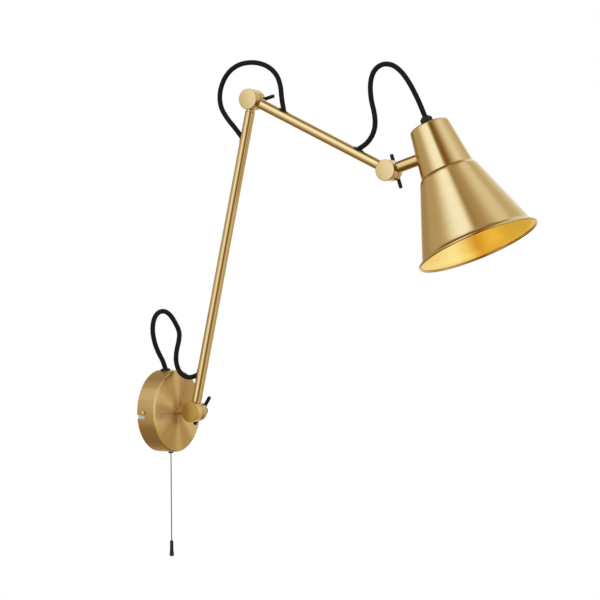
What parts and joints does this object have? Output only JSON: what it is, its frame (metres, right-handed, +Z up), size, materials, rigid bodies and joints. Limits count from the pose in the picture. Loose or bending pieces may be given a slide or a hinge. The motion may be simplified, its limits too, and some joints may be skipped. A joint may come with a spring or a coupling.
{
  "type": "jointed bedside wall reading lamp",
  "caption": "Satin brass wall reading lamp: round canopy with pull-cord switch, jointed tube arms with clamp knobs, looped black textile flex and a conical adjustable shade.",
  "frame": {"origin": "centre of the wall bracket's back face, on the wall", "axes": "+X right seen from in front, +Y into the wall, +Z up; the arms stand out towards -Y in the plane X = 0"},
  "size_m": [0.1426, 0.4997, 0.6014],
  "materials": {
    "brass_satin": "fine brushed satin, lacquered",
    "brass_turned": "satin with fine lathe rings, lacquered",
    "brass_tube": "satin brushed along the tube, lacquered",
    "brass_shade": "satin brushed round the cone outside, rich gold lacquer inside",
    "brass_screw": "bright",
    "zinc_steel": "bright zinc plate",
    "nickel": "bright nickel",
    "black_steel": "satin black",
    "black_plastic": "satin moulded black",
    "black_rubber": "matt black",
    "black_textile": "braided textile sleeve",
    "grey_cord": "fine braided cord",
    "white_nylon": "moulded natural white",
    "opal_glass": "opal, frosted"
  },
  "bodies": {
    "wall_plate": {"wall_bracket": "zinc_steel", "bracket_side_screws": "brass_screw", "earth_screw": "brass_screw", "canopy": "brass_turned", "flex_gland": "black_plastic", "gland_locknut": "black_plastic", "terminal_block": "white_nylon", "terminal_screws": "zinc_steel", "flex_tail": "black_textile", "switch_body": "white_nylon", "switch_spring": "zinc_steel", "cord_bush": "black_plastic", "cord_bush_nut": "black_plastic", "stem_washer": "zinc_steel", "stem_nut": "zinc_steel", "base_stem_joint": "brass_turned", "base_stud": "zinc_steel", "flex_loop_base": "black_textile"},
    "pull": {"switch_slider": "black_plastic", "pull_cord": "grey_cord", "cord_toggle": "black_plastic"},
    "base_knob": {"base_knob_hub": "black_plastic", "base_knob_bar": "black_steel"},
    "lower_arm": {"lower_foot_joint": "brass_satin", "base_friction_washer": "white_nylon", "base_clamp_washer": "zinc_steel", "lower_tube": "brass_tube", "lower_grommets": "black_rubber", "lower_flex_run": "black_textile", "lower_head_joint": "brass_satin", "elbow_stud": "zinc_steel", "flex_loop_elbow": "black_textile"},
    "elbow_knob": {"elbow_knob_hub": "black_plastic", "elbow_knob_bar": "black_steel"},
    "upper_arm": {"upper_foot_joint": "brass_satin", "elbow_friction_washer": "white_nylon", "elbow_clamp_washer": "zinc_steel", "upper_tube": "brass_tube", "upper_grommets": "black_rubber", "upper_flex_run": "black_textile", "upper_head_joint": "brass_satin", "head_stud": "zinc_steel", "flex_loop_head": "black_textile"},
    "head_knob": {"head_knob_hub": "black_plastic", "head_knob_bar": "black_steel"},
    "head": {"head_joint": "brass_satin", "head_friction_washer": "white_nylon", "head_clamp_washer": "zinc_steel", "head_sleeve": "brass_satin", "sleeve_washer": "zinc_steel", "sleeve_nut": "zinc_steel", "shade": "brass_shade", "cord_grip": "black_plastic", "cord_grip_nut": "black_plastic", "lampholder_cap": "white_nylon", "lampholder_body": "white_nylon", "lamp_cap": "nickel", "lamp_collar": "white_nylon", "lamp_globe": "opal_glass"}
  },
  "joints": [
    {"name": "pull_switch", "type": "slide", "parent": "wall_plate", "child": "pull", "axis": [0, 0, -1], "range_m": [0, 0.008], "stiffness_N_per_m": 400, "springref_m": -0.004, "deforming": ["switch_spring"]},
    {"name": "base_pivot", "type": "hinge", "parent": "wall_plate", "child": "lower_arm", "pos_m": [0, -0.0502, 0], "axis": [1, 0, 0], "range_deg": [-13, 90], "deforming": ["flex_loop_base"]},
    {"name": "elbow_pivot", "type": "hinge", "parent": "lower_arm", "child": "upper_arm", "pos_m": [0, -0.137, 0.3747], "axis": [1, 0, 0], "range_deg": [-100, 10], "deforming": ["flex_loop_elbow"]},
    {"name": "head_pivot", "type": "hinge", "parent": "upper_arm", "child": "head", "pos_m": [0, -0.3222, 0.2836], "axis": [1, 0, 0], "range_deg": [-60, 90], "deforming": ["flex_loop_head"]},
    {"name": "base_clamp_turn", "type": "hinge", "parent": "wall_plate", "child": "base_knob", "pos_m": [0, -0.0502, 0], "axis": [1, 0, 0], "range_deg": [0, 180]},
    {"name": "elbow_clamp_turn", "type": "hinge", "parent": "lower_arm", "child": "elbow_knob", "pos_m": [0, -0.137, 0.3747], "axis": [1, 0, 0], "range_deg": [0, 180]},
    {"name": "head_clamp_turn", "type": "hinge", "parent": "upper_arm", "child": "head_knob", "pos_m": [0, -0.3222, 0.2836], "axis": [1, 0, 0], "range_deg": [0, 180]}
  ]
}
